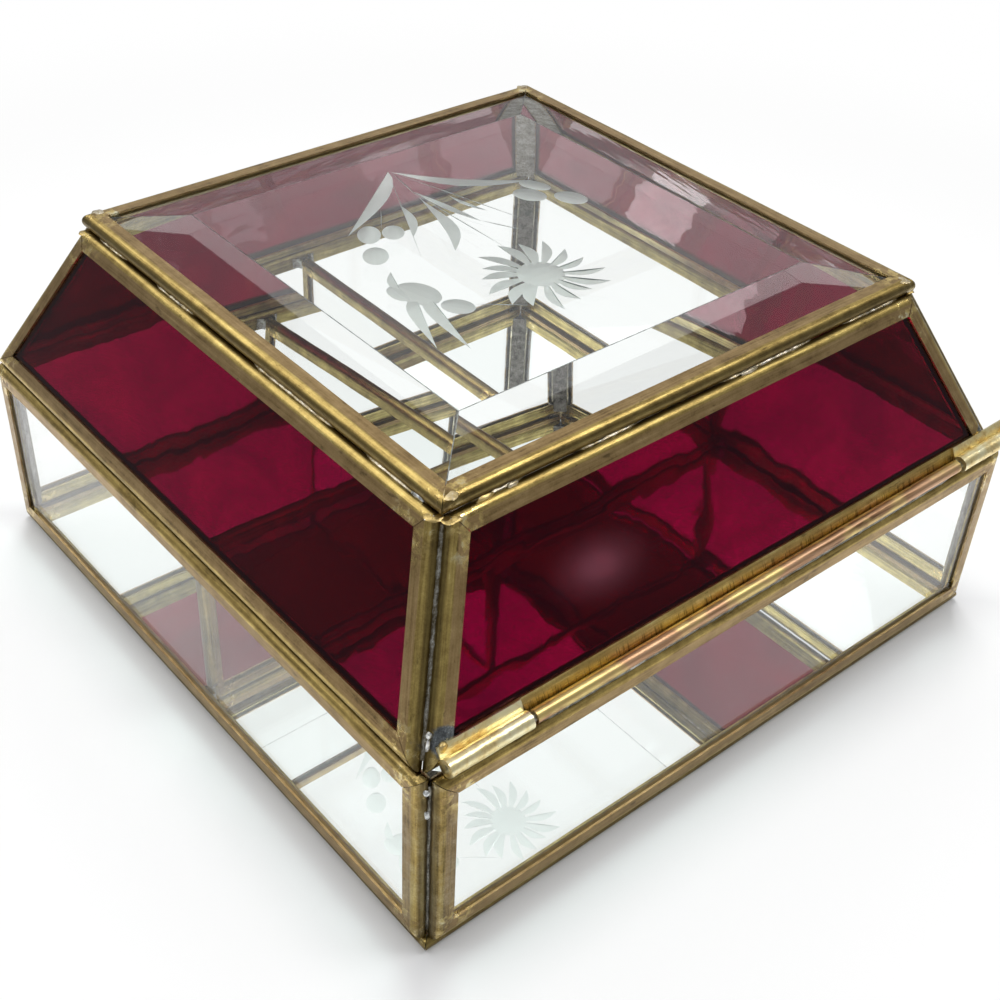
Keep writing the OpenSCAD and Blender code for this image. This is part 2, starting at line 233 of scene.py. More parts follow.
ruby = {"deep": (0.11, 0.0, 0.015), "middle": (0.15, 0.0, 0.018), "light": (0.185, 0.0, 0.02),
        "lamps": (0.14, 0.04, 0.06), "sheen": (1.0, 0.22, 0.4), "index": 1.35, "haze": 0.06,
        "swirlScale": 0.035, "swirlStretch": (1, 1, 1.6),
        "scratch": 0.15, "scratchWaves": (0.12, 2.4, 0.8), "scratchAt": (0.70, 0.74),
        "ripple": 0.00009, "rippleScale": 0.17, "rippleStretch": (1, 1, 1.4)}


def rubyGlass():
    made, f = newFinish("rubyGlass")
    where = f.place()
    swirl = f.noise(f.stretch(where, *ruby["swirlStretch"]), ruby["swirlScale"], 5, 0.6, 1.2)
    scratch = f.step(f.noise(f.stretch(where, *ruby["scratchWaves"]), 1.0, 2, 0.5), *ruby["scratchAt"])
    inner = f.parts(f.stored("mark"))[0]
    ripple = f.noise(f.stretch(where, *ruby["rippleStretch"]), ruby["rippleScale"], 0.6, 0.4, 0.3) * inner
    f.end(f.letLampsThrough(f.surface({
        "Base Color": f.ramp(swirl, (0.33, ruby["deep"]), (0.5, ruby["middle"]), (0.68, ruby["light"])),
        "Roughness": (1.0 - inner) * ruby["haze"] + scratch * ruby["scratch"],
        "Transmission Weight": 1.0, "IOR": ruby["index"], "Specular Tint": ruby["sheen"],
        "Normal": f.bump(ripple, 1.0, ruby["ripple"])}), ruby["lamps"]))
    return made


silver = {"colour": (0.96, 0.98, 0.975), "speck": (0.45, 0.46, 0.44), "speckScale": 0.9,
          "speckAt": (0.70, 0.76), "roughness": 0.015, "dull": 0.1}


def silvering():
    made, f = newFinish("silvering")
    speck = f.step(f.noise(f.place(), silver["speckScale"], 5, 0.7), *silver["speckAt"])
    f.end(f.surface({"Base Color": f.mix(speck, silver["colour"], silver["speck"]),
                     "Metallic": 1.0, "Roughness": silver["roughness"] + silver["dull"] * speck}))
    return made


brass = {  # each colour runs from dark to light
    "flange": [(0.30, (0.111, 0.072, 0.032)), (0.46, (0.338, 0.227, 0.100)), (0.60, (0.468, 0.325, 0.155)),
               (0.74, (0.676, 0.520, 0.252))],
    # the rounded back's brighter gold is partly the brass's own colour and partly painted reflection on the
    # round
    "back": [(0.30, (0.072, 0.047, 0.016)), (0.45, (0.351, 0.247, 0.081)), (0.60, (0.598, 0.448, 0.15)),
             (0.76, (0.95, 0.858, 0.416))],
    "inner": [(0.30, (0.078, 0.058, 0.023)), (0.50, (0.39, 0.312, 0.111)), (0.70, (0.806, 0.689, 0.286))],
    "wash": [(0.35, (0.286, 0.195, 0.078)), (0.55, (0.806, 0.611, 0.234)), (0.75, (0.95, 0.95, 0.728))],
    "tin": [(0.35, (0.07, 0.075, 0.08)), (0.52, (0.22, 0.24, 0.25)), (0.66, (0.60, 0.63, 0.64))],
    # a dark brown for real ticks and dirt, also used for streaks that are partly painted dark reflection, and
    # for the groove's painted shade
    "grime": (0.035, 0.025, 0.012),
    "roughness": 0.42, "washGloss": 0.14, "toneGloss": 0.12, "bump": 0.42, "bumpHeight": 0.00012,
    "drawnWaves": (0.06, 1.7, 1.7), "mottleScale": 0.30, "gritScale": 3.2,
    "washScale": 0.55, "washAt": (0.48, 0.58), "washShare": 0.85, "tinAt": (0.4, 0.55), "innerTin": 0.3,
    # the last share on the next line darkens the groove between channels: painted shade
    "tickWaves": (2.4, 0.2, 0.2), "tickAt": (0.55, 0.62), "tickShare": 0.55, "seamShare": 0.6,
    # the streaks set on the next line are partly dirt and partly painted dark reflection
    "grimeScale": 0.8, "grimeStretch": (0.3, 1, 1), "grimeAt": (0.62, 0.72), "grimeShare": 0.5,
    "hingeBack": 0.8,  # how much of a flange looks like the back, along the hinge
    # in millimetres: in from the channel's back, out from its middle, and in from a mitre; the second pair
    # sets how far in from the back the groove's painted shade reaches
    "flatFrom": (1.35, 1.8), "seamTo": (0.15, 0.6), "ticksTo": (2.2, 3.0), "innerFrom": (1.0, 1.5),
    "washTo": (1.5, 8.0),
    # spots where solder ran over the brass: their middle and how far they reach
    "tinned": [(69.2, 72.2, 46.6, 3.0), (72.9, 68.6, 45.6, 1.6), (-70.5, 72.2, 46.4, 2.2),
               (70.6, -73.0, 46.0, 2.0)],
    "tinnedFade": (0.9, 1.7), "tinnedRagged": 3.0,
}


def cameBrass():
    made, f = newFinish("cameBrass")
    where = f.place()
    lay = f.stored("lay")  # along the length, through the thickness, in from the back
    _, side, depth = f.parts(lay)
    tone, ticks, tin = f.parts(f.stored("mark"))
    reach = f.parts(f.stored("reach"))[0]
    drawn = f.noise(f.stretch(lay, *brass["drawnWaves"]), 1.0, 4, 0.6)
    mottle = f.noise(where, brass["mottleScale"], 4, 0.65)
    grit = f.noise(where, brass["gritScale"], 2, 0.6)
    value = drawn * 0.5 + mottle * 0.35 + grit * 0.15 + tone
    # flanges take the flange colours; the rounded back takes the brighter back colours, which carry painted
    # reflection
    flat = f.step(depth, *brass["flatFrom"]) * (1.0 - ticks * brass["hingeBack"])
    colour = f.mix(flat, f.ramp(value, *brass["back"]), f.ramp(value, *brass["flange"]))
    inside = f.step(0.0 - side, *brass["innerFrom"])
    colour = f.mix(inside, colour, f.ramp(value, *brass["inner"]))
    wash = 1.0 - f.step(reach, *brass["washTo"])
    wash = wash * f.step(f.noise(where, brass["washScale"], 3, 0.6), *brass["washAt"])
    colour = f.mix(wash * brass["washShare"], colour, f.ramp(mottle, *brass["wash"]))
    tin = tin * f.step(mottle + inside * brass["innerTin"], *brass["tinAt"])
    inner, outer = brass["tinnedFade"]
    for x, y, z, size in brass["tinned"]:
        near = f.add("VectorMath", {"operation": "DISTANCE"}, {0: where, 1: (x, y, z)}, out="Value")
        tin = tin + (1.0 - f.step(near + mottle * brass["tinnedRagged"], size + inner, size + outer))
    colour = f.mix(tin, colour, f.ramp(grit * 0.4 + mottle * 0.6, *brass["tin"]))
    tick = f.step(f.noise(f.stretch(lay, *brass["tickWaves"]), 1.0, 1, 0.5), *brass["tickAt"])
    tick = tick * (1.0 - f.step(depth, *brass["ticksTo"]))
    # streaks along the channel: partly dirt, partly painted dark reflection
    grime = f.noise(f.stretch(lay, *brass["grimeStretch"]), brass["grimeScale"], 4, 0.65)
    grime = f.step(grime, *brass["grimeAt"])
    # painted shade: the brass is darkened towards its back, in the groove where neighbouring channels meet
    paintedGrooveShade = 1.0 - f.step(depth, *brass["seamTo"])
    # dark marks: real ticks, then streaks that are partly dirt and partly painted dark reflection, then the
    # groove's painted shade
    for share in (ticks * tick * brass["tickShare"], grime * brass["grimeShare"], paintedGrooveShade * brass["seamShare"]):
        colour = f.mix(share, colour, brass["grime"])
    relief = drawn * 0.6 + grit * 0.5 + mottle * 1.2 * wash
    gloss = brass["roughness"] - wash * brass["washGloss"] - value * brass["toneGloss"]
    f.end(f.surface({"Base Color": colour, "Metallic": 1.0, "Roughness": gloss,
                     "Normal": f.bump(relief, brass["bump"], brass["bumpHeight"])}))
    return made


tube = {"dark": (0.14, 0.07, 0.035), "copper": (0.50, 0.29, 0.16), "rose": (0.72, 0.46, 0.29),
        "gold": (0.72, 0.55, 0.22), "goldScale": 0.12, "goldStretch": (0.5, 1, 1), "goldAt": (0.50, 0.62),
        "drawnWaves": (0.05, 1.5, 1.5), "roughness": 0.34, "bump": 0.2, "bumpHeight": 0.0001}


def hingeCopper():
    made, f = newFinish("hingeCopper")
    where = f.place()
    drawn = f.noise(f.stretch(where, *tube["drawnWaves"]), 1.0, 4, 0.6)
    patch = f.noise(f.stretch(where, *tube["goldStretch"]), tube["goldScale"], 3, 0.6)
    colour = f.ramp(drawn, (0.30, tube["dark"]), (0.47, tube["copper"]), (0.70, tube["rose"]))
    colour = f.mix(f.step(patch, *tube["goldAt"]), colour, tube["gold"])
    f.end(f.surface({"Base Color": colour, "Metallic": 1.0, "Roughness": tube["roughness"] + 0.1 * drawn,
                     "Normal": f.bump(drawn, tube["bump"], tube["bumpHeight"])}))
    return made


barrel = {"pale": (1.0, 0.92, 0.6), "gold": (0.88, 0.72, 0.36), "rust": (0.62, 0.42, 0.17),
          "soot": (0.08, 0.07, 0.05), "sootAt": (0.66, 0.74), "sootShare": 0.8, "mottleScale": 0.28,
          "fineScale": 1.6, "roughness": 0.42, "bump": 0.4}


def barrelBrass():
    made, f = newFinish("barrelBrass")
    where = f.place()
    mottle = f.noise(where, barrel["mottleScale"], 5, 0.6, 0.4)
    fine = f.noise(where, barrel["fineScale"], 3, 0.6)
    value = mottle * 0.8 + fine * 0.2
    colour = f.ramp(value, (0.32, barrel["rust"]), (0.45, barrel["gold"]), (0.58, barrel["pale"]))
    colour = f.mix(f.step(fine, *barrel["sootAt"]) * barrel["sootShare"], colour, barrel["soot"])
    f.end(f.surface({"Base Color": colour, "Metallic": 1.0, "Roughness": barrel["roughness"] - 0.15 * mottle,
                     "Normal": f.bump(mottle * 1.5 + fine * 0.5, barrel["bump"])}))
    return made


solder = {"dark": (0.05, 0.045, 0.035), "dull": (0.26, 0.25, 0.22), "grey": (0.52, 0.54, 0.54),
          "bright": (0.96, 0.96, 0.94), "gold": (0.70, 0.52, 0.21), "greyAt": (0.62, 0.7), "contrast": 0.35,
          "lumpScale": 0.5, "fineScale": 2.2, "roughness": 0.5, "bump": 0.5}


def tinSolder():
    made, f = newFinish("tinSolder")
    where = f.place()
    tone, gold, glint = f.parts(f.stored("mark"))
    lump = f.noise(where, solder["lumpScale"], 4, 0.6)
    fine = f.noise(where, solder["fineScale"], 3, 0.65)
    # glint spreads the noise, so that some spots reach the bright colour: partly bright solder, partly
    # painted glints
    value = (lump * 0.55 + fine * 0.45 - 0.5) * (glint + solder["contrast"]) + 0.5 + tone
    colour = f.ramp(value, (0.36, solder["dark"]), (0.46, solder["dull"]), (0.56, solder["grey"]),
                    (0.70, solder["bright"]))
    colour = f.mix(gold * (1.0 - f.step(fine, *solder["greyAt"])), colour, solder["gold"])
    f.end(f.surface({"Base Color": colour, "Metallic": 1.0, "Roughness": solder["roughness"] - 0.3 * lump,
                     "Normal": f.bump(lump * 0.7 + fine, solder["bump"])}))
    return made


finish = {"clear": clearGlass(), "frost": frostedCut(), "ridge": chippedRidge(), "ruby": rubyGlass(),
          "silver": silvering(), "brass": cameBrass(), "copper": hingeCopper(), "barrel": barrelBrass(),
          "solder": tinSolder()}
plainFinish = {"clear_glass": "clear", "bevelled_glass": "clear", "ruby_glass": "ruby", "mirror": "silver",
               "brass_came": "brass", "hinge_brass": "copper", "solder": "solder", "pin_wire": "solder"}
for name, piece in node.items():
    piece.data.materials.clear()
    piece.data.materials.append(finish[plainFinish[slotOf[name]]])
print("finishes made:", len(finish))

work = {"weld": 0.002 * mm, "flat": math.radians(0.5), "sharp": math.radians(32), "smooth": math.radians(40)}


def solidsOf(name):  # a node's solids, welded, each in a mesh of its own
    whole = bmesh.new()
    whole.from_mesh(node[name].data)
    bmesh.ops.remove_doubles(whole, verts=whole.verts, dist=work["weld"])
    bmesh.ops.dissolve_limit(whole, angle_limit=work["flat"], verts=whole.verts, edges=whole.edges)
    whole.verts.index_update()
    owner = {}
    solids = []
    for start in whole.verts:
        if start.index in owner:
            continue
        owner[start.index] = len(solids)
        stack = [start]
        while stack:
            corner = stack.pop()
            for edge in corner.link_edges:
                other = edge.other_vert(corner)
                if other.index not in owner:
                    owner[other.index] = len(solids)
                    stack.append(other)
        solids.append(bmesh.new())
    copies = [solids[owner[corner.index]].verts.new(corner.co) for corner in whole.verts]
    for face in whole.faces:
        solids[owner[face.verts[0].index]].faces.new([copies[corner.index] for corner in face.verts])
    whole.free()
    return solids


def longAxis(solid):
    longest = max(solid.edges, key=lambda edge: round(edge.calc_length(), 7))
    axis = (longest.verts[1].co - longest.verts[0].co).normalized()
    return axis if max(axis, key=abs) > 0 else -axis


def middleOf(solid):
    return sum((corner.co for corner in solid.verts), Vector()) / len(solid.verts)


def span(solid, axis):
    places = [corner.co.dot(axis) for corner in solid.verts]
    return min(places), max(places)


def soften(solid, size, segments=2):
    sharp = [edge for edge in solid.edges if edge.is_manifold and edge.calc_face_angle(0) > work["sharp"]]
    bmesh.ops.bevel(solid, geom=sharp, offset=size, offset_type="OFFSET", segments=segments, profile=0.5,
                    affect="EDGES", clamp_overlap=True)


def cutAcross(solid, axis, step):  # cuts across the axis, so that the shape can bend there
    low, high = span(solid, axis)
    count = max(2, round((high - low) / step))
    for i in range(1, count):
        everything = solid.verts[:] + solid.edges[:] + solid.faces[:]
        bmesh.ops.bisect_plane(solid, geom=everything, dist=work["weld"] / 10,
                               plane_co=axis * (low + (high - low) * i / count), plane_no=axis)


def lumpAt(place, size):  # three layers of noise, each twice as fine as the one before
    return noise.fractal(place / size, 0.9, 2.0, 3)


def dress(name, pieceName, solids, *finishes):  # one piece that stands for a node
    mesh = bpy.data.meshes.new(pieceName)
    whole = bmesh.new()
    for solid in solids:
        for corner in solid.verts:
            corner.co = [min(max(value, low), high) for value, low, high in zip(corner.co, *cadBox)]
        part = bpy.data.meshes.new("part")
        solid.to_mesh(part)
        solid.free()
        whole.from_mesh(part)
        bpy.data.meshes.remove(part)
    whole.to_mesh(mesh)
    whole.free()
    mesh.shade_smooth()
    mesh.set_sharp_from_angle(angle=work["smooth"])
    for one in finishes:
        mesh.materials.append(finish[one])
    piece = bpy.data.objects.new(pieceName, mesh)
    bpy.context.scene.collection.objects.link(piece)
    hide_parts(name)
    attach(piece, bodyOf[name])
    return piece


def camel(name):
    first, *rest = name.split("_")
    return first + "".join(word.capitalize() for word in rest)


came = {"edge": 0.11 * mm, "step": 4.0 * mm, "wobble": 0.05 * mm, "wave": 14 * mm, "seed": 11,
        "tone": 0.03, "hingeTone": 0.09, "dividerTone": -0.05, "uprightTone": -0.04,
        "tin": 0.55, "cleanTin": 0.15, "clean": ("rear_wall_came", "right_wall_came"),
        "away": 90, "lengthsApart": 20, "waysApart": 31.7}  # how far apart the patterns lie
boxMiddle = (Vector(cadBox[0]) + Vector(cadBox[1])) / 2
chance = random.Random(came["seed"])


def flatNormal(solids):  # the thin direction of a frame, pointing out of the box
    points = np.array([corner.co for solid in solids for corner in solid.verts])
    centre = Vector(points.mean(axis=0))
    normal = Vector(np.linalg.svd(points - points.mean(axis=0), full_matrices=False)[2][2])
    level = normal.z * normal.z > 0.5
    out = centre - Vector((boxMiddle.x, boxMiddle.y, boxMiddle.z if level else centre.z))
    return centre, (normal if normal.dot(out) > 0 else -normal).normalized()


def barMarks(name, axis, outward):  # tone, ticks and tin for one length of channel
    tone = chance.uniform(-came["tone"], came["tone"])
    tin = 0.0
    hingeSide = name == "rear_slope_came" and outward.z < -0.5
    if hingeSide:
        tone += came["hingeTone"]
    if name.startswith(("cross", "short")):
        tone += came["dividerTone"]
    if "wall" in name and abs(axis.z) > 0.5:
        tone += came["uprightTone"]
        tin = came["cleanTin"] if name in came["clean"] else came["tin"]
    return Vector((tone, float(hingeSide), tin))


def driftAt(place):  # smooth noise in each of the three directions
    return Vector([noise.noise(place + Vector((came["waysApart"] * way, 0, 0))) for way in range(3)])


def dressCame(name):
    solids = solidsOf(name)
    centre, normal = flatNormal(solids)
    for solid in solids:
        axis = longAxis(solid)
        outward = axis.cross(normal)
        if outward.dot(middleOf(solid) - centre) < 0:
            outward = -outward
        soften(solid, came["edge"])
        cutAcross(solid, axis, came["step"])
        low, high = span(solid, axis)
        back = span(solid, outward)[1]
        marks = barMarks(name, axis, outward)
        seed = Vector([chance.uniform(0, came["away"]) for _ in range(3)])
        lay = solid.verts.layers.float_vector.new("lay")
        mark = solid.verts.layers.float_vector.new("mark")
        reach = solid.verts.layers.float_vector.new("reach")
        for corner in solid.verts:
            along = corner.co.dot(axis)
            depth = back - corner.co.dot(outward)
            side = (corner.co - centre).dot(normal)
            corner[lay] = Vector((along / mm + seed.x * came["lengthsApart"], side / mm, depth / mm))
            corner[mark] = marks
            corner[reach] = Vector((max(0, min(along - low, high - along) - depth) / mm, 0, 0))
            drift = driftAt(seed + axis * (along / came["wave"])) * came["wobble"]
            corner.co += drift - axis * drift.dot(axis)
    dress(name, camel(name), solids, "brass")


for name in node:
    if name.endswith("_came"):
        dressCame(name)
print("channels dressed")

# a bead's glint sets how many spots reach the bright colour: partly bright solder, partly painted glints
beads = {  # in millimetres; look is how pale, how golden and how bright
    "base_corner_solder": {"step": 0.9, "edge": 0.35, "lump": 0.16, "size": 1.5, "taper": 0, "swell": 0,
                           "look": (-0.08, 0, 0.2)},
    "lid_corner_solder": {"step": 0.7, "edge": 0.35, "lump": 0.24, "size": 1.5, "taper": 0, "swell": 0.3,
                          "look": (0.0, 0.1, 0.6)},
    "lid_rim_solder": {"step": 0.7, "edge": 0.2, "lump": 0.22, "size": 1.3, "taper": 3, "swell": 0,
                       "look": (0.0, 0.35, 0.8)},
    "base_foot_solder": {"step": 0.7, "edge": 0.2, "lump": 0.15, "size": 1.3, "taper": 2, "swell": 0,
                         "look": (-0.04, 0, 0.6)},
    "hinge_solder": {"step": 1.2, "edge": 0.15, "lump": 0.12, "size": 2, "taper": 3, "swell": 0,
                     "look": (0.02, 0, 0.65)},
    "knuckle_solder": {"step": 0.7, "edge": 0.1, "lump": 0.12, "size": 1.2, "taper": 1, "swell": 0,
                       "look": (0.04, 0.3, 0.65)},
    "divider_solder": {"step": 0.5, "edge": 0.12, "lump": 0.1, "size": 1, "taper": 0, "swell": 0,
                       "look": (0, 0, 0.65)},
}
drops = {  # spilt metal where the channels meet: place and half sizes in millimetres, and how golden
    "lid_rim_solder": [
        (56.2, 55.2, 78.75, 1.6, 1.6, 0.22, 0.8), (50.2, 56.7, 76.1, 1.9, 0.5, 0.6, 1.0),
        (44.6, 56.8, 76.1, 1.2, 0.4, 0.5, 0.6), (58.5, 50.4, 76.2, 0.4, 1.5, 0.5, 0.0),
        (-55.0, 55.0, 78.75, 1.4, 1.5, 0.25, 0.6), (55.8, -56.9, 78.75, 1.5, 1.4, 0.25, 0.5),
        (-55.0, -56.8, 78.75, 1.4, 1.6, 0.25, 0.5), (-10.4, 56.8, 76.1, 2.2, 0.4, 0.5, 0.5)],
    "lid_corner_solder": [
        (72.0, 70.9, 46.2, 0.55, 0.55, 1.5, 0.0), (71.6, 70.6, 48.3, 0.5, 0.5, 0.6, 0.0),
        (59.0, 54.9, 75.5, 1.5, 1.7, 0.35, 1.0), (57.2, 57.1, 75.5, 1.8, 1.2, 0.35, 1.0),
        (59.1, -56.6, 75.5, 1.2, 1.5, 0.35, 1.0), (-57.9, 54.9, 75.5, 1.3, 1.4, 0.35, 1.0),
        (-57.6, -58.4, 75.5, 1.4, 1.1, 0.35, 1.0)],
    "knuckle_solder": [
        (70.3, 72.5, 46.2, 1.2, 0.6, 1.0, 1.0), (69.5, 75.7, 43.9, 0.6, 0.45, 0.5, 0.0),
        (67.9, 75.8, 43.6, 0.7, 0.4, 0.4, 0.0)],
    "base_corner_solder": [(75.1, 74.7, 41.2, 0.5, 0.5, 0.6, 0.0), (75.0, 74.8, 36.0, 0.4, 0.4, 0.9, 0.0)],
}
# spilt metal gets glints too: partly bright solder, partly painted glints
spill = {"tone": 0.1, "glint": 0.8, "lump": 0.35, "lumps": 1.3, "thinTip": 0.02}


def drop(place, size, gold):
    made = bmesh.new()
    bmesh.ops.create_icosphere(made, subdivisions=3, radius=1)
    mark = made.verts.layers.float_vector.new("mark")
    for corner in made.verts:
        lump = 1 + spill["lump"] * noise.noise(corner.co * spill["lumps"] + place * 1000)
        corner[mark] = Vector((spill["tone"], gold, spill["glint"]))
        corner.co = place + Vector([way * half * lump for way, half in zip(corner.co, size)])
    return made


def dressBead(name, bead):
    solids = solidsOf(name)
    look = Vector(bead["look"])
    for solid in solids:
        axis = longAxis(solid)
        soften(solid, bead["edge"] * mm, 3)
        cutAcross(solid, axis, bead["step"] * mm)
        solid.normal_update()
        low, high = span(solid, axis)
        middle = middleOf(solid)
        mark = solid.verts.layers.float_vector.new("mark")
        for corner in solid.verts:
            corner[mark] = look
            lump = lumpAt(corner.co, bead["size"] * mm) * bead["lump"] + bead["swell"]
            corner.co += corner.normal * lump * mm
            if bead["taper"]:
                along = corner.co.dot(axis)
                share = min(1.0, min(along - low, high - along) / (bead["taper"] * mm))
                core = middle + axis * (along - middle.dot(axis))
                corner.co = core + (corner.co - core) * math.sqrt(max(spill["thinTip"], share))
    for x, y, z, *size, gold in drops.get(name, []):
        solids.append(drop(Vector((x, y, z)) * mm, Vector(size) * mm, gold))
    dress(name, camel(name), solids, "solder")


for name, bead in beads.items():
    dressBead(name, bead)
print("solder run")

wavy = {"step": 1.6 * mm, "height": 0.16 * mm, "size": 7 * mm, "broad": 0.24 * mm, "broadSize": 20 * mm}


def dressRuby(name):  # hand-rolled glass: its inner face is wavy, which only thins the pane
    solid, = solidsOf(name)
    centre, normal = flatNormal([solid])
    first = longAxis(solid)
    for axis in (first, normal.cross(first)):
        cutAcross(solid, axis, wavy["step"])
    mark = solid.verts.layers.float_vector.new("mark")
    for corner in solid.verts:
        if (corner.co - centre).dot(normal) < 0:
            where = corner.co.copy()
            corner[mark] = Vector((1, 0, 0))
            corner.co = where + normal * (
                (0.5 + 0.5 * noise.noise(where / wavy["size"])) * wavy["height"]
                + (0.5 + 0.5 * noise.noise(where / wavy["broadSize"])) * wavy["broad"])
    dress(name, camel(name), [solid], "ruby")


for name in node:
    if name.endswith("slope_pane"):
        dressRuby(name)
print("ruby panes rolled")

# Strokes of the wheel on the top pane, in millimetres from its middle: the two ends, how far
# each side of the stroke bows out from the line between them, and where along it the bow peaks
leaves = [
    (-0.3, -35.1, 22.5, -17.1, 0.0, 3.2, 0.38), (6.6, -21.5, 12.6, -9.4, 0.0, 2.0, 0.5),
    (1.4, -22.0, 9.4, -0.5, 0.8, 3.6, 0.6), (0.9, -25.0, -2.4, -7.0, -1.0, 0.6, 0.5),
    (-4.0, -19.0, -6.2, -9.8, -0.9, 0.1, 0.45), (-0.8, -34.7, -22.8, -14.9, -4.4, -1.5, 0.5),
    (24.2, -1.1, 27.2, 6.5, 0.0, -1.7, 0.5),
    (26.1, 9.2, 33.5, 24.7, 0.0, -2.6, 0.25), (23.5, 9.3, 28.9, 28.4, 0.0, -2.7, 0.28),
]
hairlines = [
    (-0.3, -35.1, 16.2, -2.2), (-0.8, -34.7, 1.6, -21.5), (-0.8, -34.7, 1.2, -24.5),
    (-0.8, -34.7, -10.5, -0.7), (-2.4, -7.4, -6.9, 0.8), (1.2, -24.5, 0.6, 5.4),
    (11.0, -22.2, 15.7, -15.7), (18.8, 17.1, 11.0, 23.2),
]
ovals = [  # middle, half length, half width, the long way in degrees
    (19.0, -15.1, 3.6, 2.3, 55), (14.6, -13.2, 2.9, 2.2, 53), (22.9, -7.6, 3.4, 2.5, 54),
    (-21.5, -12.8, 3.5, 1.9, 118), (-17.8, -10.1, 3.6, 2.6, 120), (-23.9, -4.3, 3.6, 2.6, 116),
    (27.5, 6.2, 3.1, 2.1, 90), (24.9, 8.2, 4.8, 3.5, 104), (21.8, 16.0, 3.2, 2.5, 125),
]
flower = {"x": 1.9, "y": 15.8, "petals": 16, "length": (10.6, 13.4), "start": 1.0, "peak": 0.62,
          "bow": 2.3, "bows": (0.8, 1.1), "heart": 4.6, "waver": 0.12, "seed": 5}
wheel = {"deep": 0.28, "skim": 0.02, "over": 0.3, "hairline": 0.14, "steps": 14, "thin": 0.015,
         "ridge": 0.1 * mm, "bend": 0.05}
topLooks = ["clear", "frost", "ridge"]  # the top pane's finishes, in the order of its slots
slant = [(0.0, 1.0), (0.5, 0.55), (1.0, 0.0)]  # across a stroke: deep at its straight side
dished = [(0.0, 0.0), (0.25, 0.75), (0.5, 1.0), (0.75, 0.75), (1.0, 0.0)]


def stroke(cutter, top, ends, bows, peak, across, ellipse=False):  # one pass of the wheel, as a closed wedge
    start, end = Vector(ends[:2]), Vector(ends[2:])
    way = (end - start).normalized()
    left = Vector((-way.y, way.x))
    power = math.log(0.5) / math.log(peak)
    rings = []
    for i in range(wheel["steps"] + 1):
        share = i / wheel["steps"]
        if ellipse:
            share = 0.5 - 0.5 * math.cos(math.pi * share)
            swell = 2 * math.sqrt(max(0.0, share * (1 - share)))
        else:
            swell = math.sin(math.pi * share ** power)
        swell = max(swell, wheel["thin"])
        middle = start.lerp(end, share)
        sides = [middle + left * bows[0] * swell, middle + left * bows[1] * swell]
        ring = [(sides[0], -wheel["over"]), (sides[1], -wheel["over"])]
        for place, deep in reversed(across):
            ring.append((sides[0].lerp(sides[1], place), max(wheel["skim"], wheel["deep"] * deep * swell)))
        rings.append([cutter.verts.new(((top.x / mm + p.x) * mm, (top.y / mm + p.y) * mm, top.z - deep * mm))
                      for p, deep in ring])
    count = len(rings[0])
    for one, two in zip(rings, rings[1:]):
        for i in range(count):
            j = (i + 1) % count
            cutter.faces.new((one[i], one[j], two[j], two[i]))
    cutter.faces.new(rings[0][::-1])
    cutter.faces.new(rings[-1])


def cutFlower(cutter, top):
    petal = random.Random(flower["seed"])
    x, y, near, heart = flower["x"], flower["y"], flower["start"], flower["heart"]
    for i in range(flower["petals"]):
        turn = math.tau * (i + petal.uniform(-flower["waver"], flower["waver"])) / flower["petals"]
        far = petal.uniform(*flower["length"])
        ends = (x + near * math.cos(turn), y + near * math.sin(turn),
                x + far * math.cos(turn), y + far * math.sin(turn))
        stroke(cutter, top, ends, (0, -flower["bow"] * petal.uniform(*flower["bows"])), flower["peak"], slant)
    stroke(cutter, top, (x - heart, y, x + heart, y), (-heart, heart), 0.5, dished, True)


def engraving(top):  # all the strokes, as one closed tool
    cutter = bmesh.new()
    for leaf in leaves:
        stroke(cutter, top, leaf[:4], leaf[4:6], leaf[6], slant)
    for line in hairlines:
        stroke(cutter, top, line, (0, wheel["hairline"]), 0.5, slant)
    for x, y, half, width, turn in ovals:
        way = Vector((math.cos(math.radians(turn)), math.sin(math.radians(turn)))) * half
        stroke(cutter, top, (x - way.x, y - way.y, x + way.x, y + way.y), (-width, width), 0.5, dished, True)
    cutFlower(cutter, top)
    bmesh.ops.recalc_face_normals(cutter, faces=cutter.faces)
    mesh = bpy.data.meshes.new("wheel")
    cutter.to_mesh(mesh)
    cutter.free()
    for look in topLooks:
        mesh.materials.append(finish[look])
    for face in mesh.polygons:
        face.material_index = topLooks.index("frost")
    return mesh


def dressTop(name):
    low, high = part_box(name)
    pane, = solidsOf(name)
    pane.normal_update()
    ridges = [edge for edge in pane.edges
              if edge.is_manifold and wheel["bend"] < edge.calc_face_angle(0) < work["sharp"]]
    bmesh.ops.bevel(pane, geom=ridges, offset=wheel["ridge"], segments=1, affect="EDGES",
                    material=topLooks.index("ridge"))
    piece = dress(name, camel(name), [pane], *topLooks)
    top = Vector(((low[0] + high[0]) / 2, (low[1] + high[1]) / 2, high[2]))
    tool = bpy.data.objects.new("wheel", engraving(top))
    bpy.context.scene.collection.objects.link(tool)
    cut = piece.modifiers.new("cut", "BOOLEAN")
    cut.operation, cut.solver, cut.object, cut.use_self = "DIFFERENCE", "EXACT", tool, True
    shape = bpy.data.meshes.new_from_object(piece.evaluated_get(bpy.context.evaluated_depsgraph_get()))
    piece.modifiers.clear()
    piece.data = shape
    bpy.data.objects.remove(tool)
    shape.shade_flat()
    cutFaces = sum(face.material_index == topLooks.index("frost") for face in shape.polygons)
    print("top pane:", len(shape.polygons), "faces,", cutFaces, "cut")


dressTop("top_pane")

knuckle = {"step": 1.0 * mm, "edge": 0.25 * mm, "sink": 0.07 * mm, "size": 3 * mm, "whole": 0.3}


